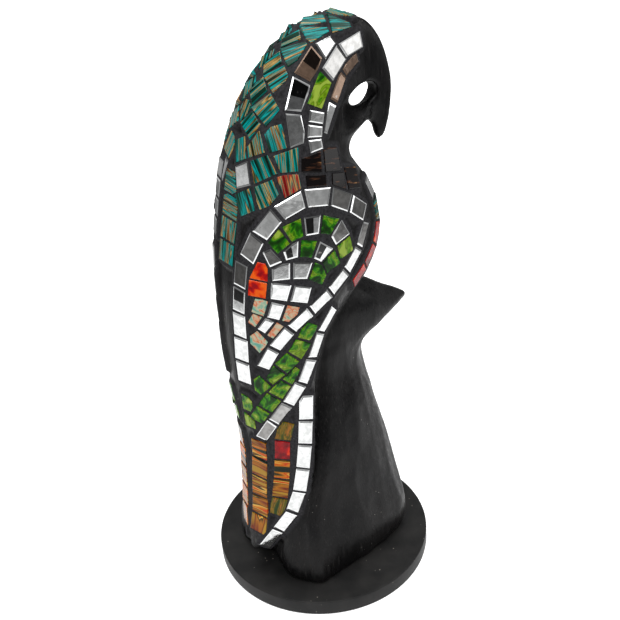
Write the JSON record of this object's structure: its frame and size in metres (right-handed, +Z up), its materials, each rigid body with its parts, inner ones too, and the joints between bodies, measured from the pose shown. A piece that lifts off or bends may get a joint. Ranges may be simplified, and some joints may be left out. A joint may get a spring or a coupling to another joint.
{
  "type": "mosaic parrot figurine",
  "caption": "Carved wooden parrot on a stump perch and round base, painted black, its head, back, wings and tail covered with mirror and coloured glass tiles.",
  "frame": {"origin": "centre of the round base's underside", "axes": "+Z up, +X the way the bird and its perch face, +Y towards the bird's left side"},
  "size_m": [0.1705, 0.165, 0.4012],
  "materials": {
    "painted_wood": "satin black paint over carved wood, fine scratches and dust",
    "base_wood": "flat black paint, slightly greyer than the carving",
    "mirror_tile": "silvered glass with ground edges",
    "bronze_mirror_tile": "thin brown mirror glass",
    "teal_glass": "glossy, streaked teal, green, cream and ochre, opaque backing",
    "green_glass": "glossy, marbled lime and dark green, opaque backing",
    "amber_glass": "glossy, streaked amber, orange and dark green, opaque backing",
    "red_glass": "glossy red, opaque backing",
    "rose_glass": "glossy, mottled pink, peach and mint, opaque backing"
  },
  "bodies": {
    "root": {"carved_parrot_and_stump": "painted_wood", "crown_band_a": "teal_glass", "crown_band_b": "teal_glass", "crown_band_c": "teal_glass", "left_back_border": "mirror_tile", "left_cheek_row": "mirror_tile", "left_chest_row": "red_glass", "left_face_row_a": "bronze_mirror_tile", "left_face_row_b": "mirror_tile", "left_face_row_c": "mirror_tile", "left_flank_border": "mirror_tile", "left_flank_inner_row": "green_glass", "left_flank_outer_row": "green_glass", "left_flank_tip_row": "green_glass", "left_mantle_row_a": "teal_glass", "left_mantle_row_b": "teal_glass", "left_mantle_row_c": "teal_glass", "left_tail_border": "mirror_tile", "left_tail_front_column": "amber_glass", "left_tail_rear_column": "amber_glass", "left_wing_arc_middle": "green_glass", "left_wing_arc_upper": "green_glass", "left_wing_front_border": "mirror_tile", "left_wing_rear_border": "mirror_tile", "left_wing_row_a": "mirror_tile", "left_wing_row_b": "red_glass", "left_wing_row_c": "rose_glass", "left_wing_row_d": "rose_glass", "left_wing_row_e": "rose_glass", "left_wing_shoulder_border": "mirror_tile", "nape_band_a": "teal_glass", "nape_band_b": "teal_glass", "nape_band_c": "teal_glass", "right_cheek_row": "mirror_tile", "right_chest_row": "red_glass", "right_face_row_a": "bronze_mirror_tile", "right_face_row_b": "mirror_tile", "right_face_row_c": "mirror_tile", "right_flank_border": "mirror_tile", "right_flank_inner_row": "green_glass", "right_flank_outer_row": "green_glass", "right_flank_tip_row": "green_glass", "right_mantle_row_a": "teal_glass", "right_mantle_row_b": "teal_glass", "right_mantle_row_c": "teal_glass", "right_tail_border": "mirror_tile", "right_tail_front_column": "amber_glass", "right_tail_rear_column": "amber_glass", "right_wing_arc_middle": "green_glass", "right_wing_arc_upper": "green_glass", "right_wing_front_border": "mirror_tile", "right_wing_rear_border": "mirror_tile", "right_wing_row_a": "mirror_tile", "right_wing_row_b": "red_glass", "right_wing_row_c": "rose_glass", "right_wing_row_d": "rose_glass", "right_wing_row_e": "rose_glass", "right_wing_shoulder_border": "mirror_tile", "round_base": "base_wood", "spine_column": "teal_glass"}
  },
  "joints": []
}
